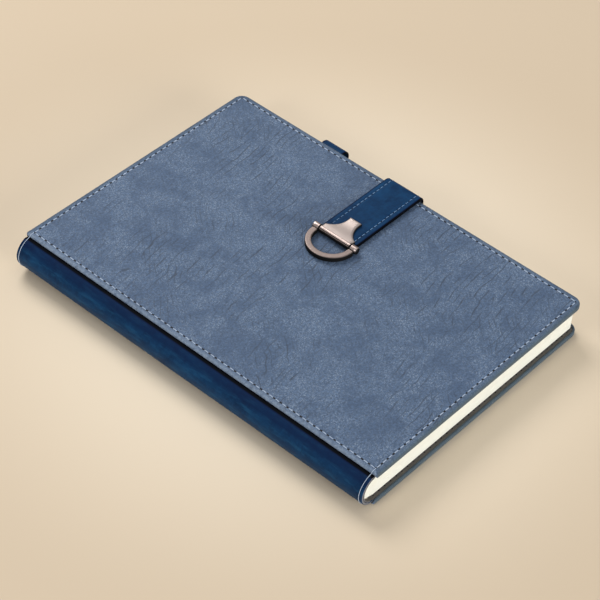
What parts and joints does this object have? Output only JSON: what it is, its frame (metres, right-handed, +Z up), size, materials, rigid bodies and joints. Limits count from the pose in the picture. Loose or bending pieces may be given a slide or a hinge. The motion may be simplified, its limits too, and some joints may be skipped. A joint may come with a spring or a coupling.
{
  "type": "diary with strap lock",
  "caption": "Hardback diary with sewn leaves, a rounded leather spine, a pen loop and a magnetic strap that locks over the front cover with a plate and a hinged D-ring.",
  "frame": {"origin": "centre of the back cover's underside", "axes": "+X from the spine to the fore edge, +Y from the tail to the head, +Z up through the covers"},
  "size_m": [0.1665, 0.216, 0.0243],
  "materials": {
    "cover_panel": "matt suede-look covering, mottled grey-blue with fine creases",
    "navy_leather": "smooth navy leather with a soft sheen",
    "lining_cloth": "dark grey lining cloth",
    "board": "grey pulp board",
    "paper": "uncoated ivory paper",
    "buckle_metal": "satin plated zinc alloy, warm grey",
    "magnet": "plain ferrite disc"
  },
  "bodies": {
    "book": {"back_panel": "cover_panel", "back_board": "board", "back_lining": "lining_cloth", "back_pastedown": "paper", "back_flyleaf": "paper", "page_section_1": "paper", "page_section_2": "paper", "page_section_3": "paper", "page_section_4": "paper", "page_section_5": "paper", "page_section_6": "paper", "page_section_7": "paper", "front_flyleaf": "paper", "spine_mull": "lining_cloth", "spine_lining": "lining_cloth", "spine_leather": "navy_leather", "strap_tail": "navy_leather", "pen_loop": "navy_leather"},
    "front_cover": {"front_panel": "cover_panel", "front_board": "board", "front_lining": "lining_cloth", "front_pastedown": "paper", "front_hinge_flap": "navy_leather", "cover_magnet": "magnet"},
    "strap_side": {"strap_side_outer": "navy_leather", "strap_side_lining": "navy_leather"},
    "strap_flap": {"strap_flap_outer": "navy_leather", "strap_flap_lining": "navy_leather", "strap_magnet": "magnet", "buckle_plate": "buckle_metal", "buckle_rivets": "buckle_metal", "hinge_pin": "buckle_metal"},
    "ring": {"d_ring": "buckle_metal"}
  },
  "joints": [
    {"name": "cover_hinge", "type": "hinge", "parent": "book", "child": "front_cover", "pos_m": [-0.076, 0, 0.02], "axis": [0, -1, 0], "range_deg": [0, 187]},
    {"name": "strap_low_bend", "type": "hinge", "parent": "book", "child": "strap_side", "pos_m": [0.07641, 0.0008, 0.00159], "axis": [0, 1, 0], "range_deg": [0, 75]},
    {"name": "strap_top_bend", "type": "hinge", "parent": "strap_side", "child": "strap_flap", "pos_m": [0.07627, 0.0008, 0.02177], "axis": [0, 1, 0], "range_deg": [0, 90]},
    {"name": "ring_hinge", "type": "hinge", "parent": "strap_flap", "child": "ring", "pos_m": [0.0238, 0.0008, 0.0224], "axis": [0, 1, 0], "range_deg": [0, 135]}
  ]
}
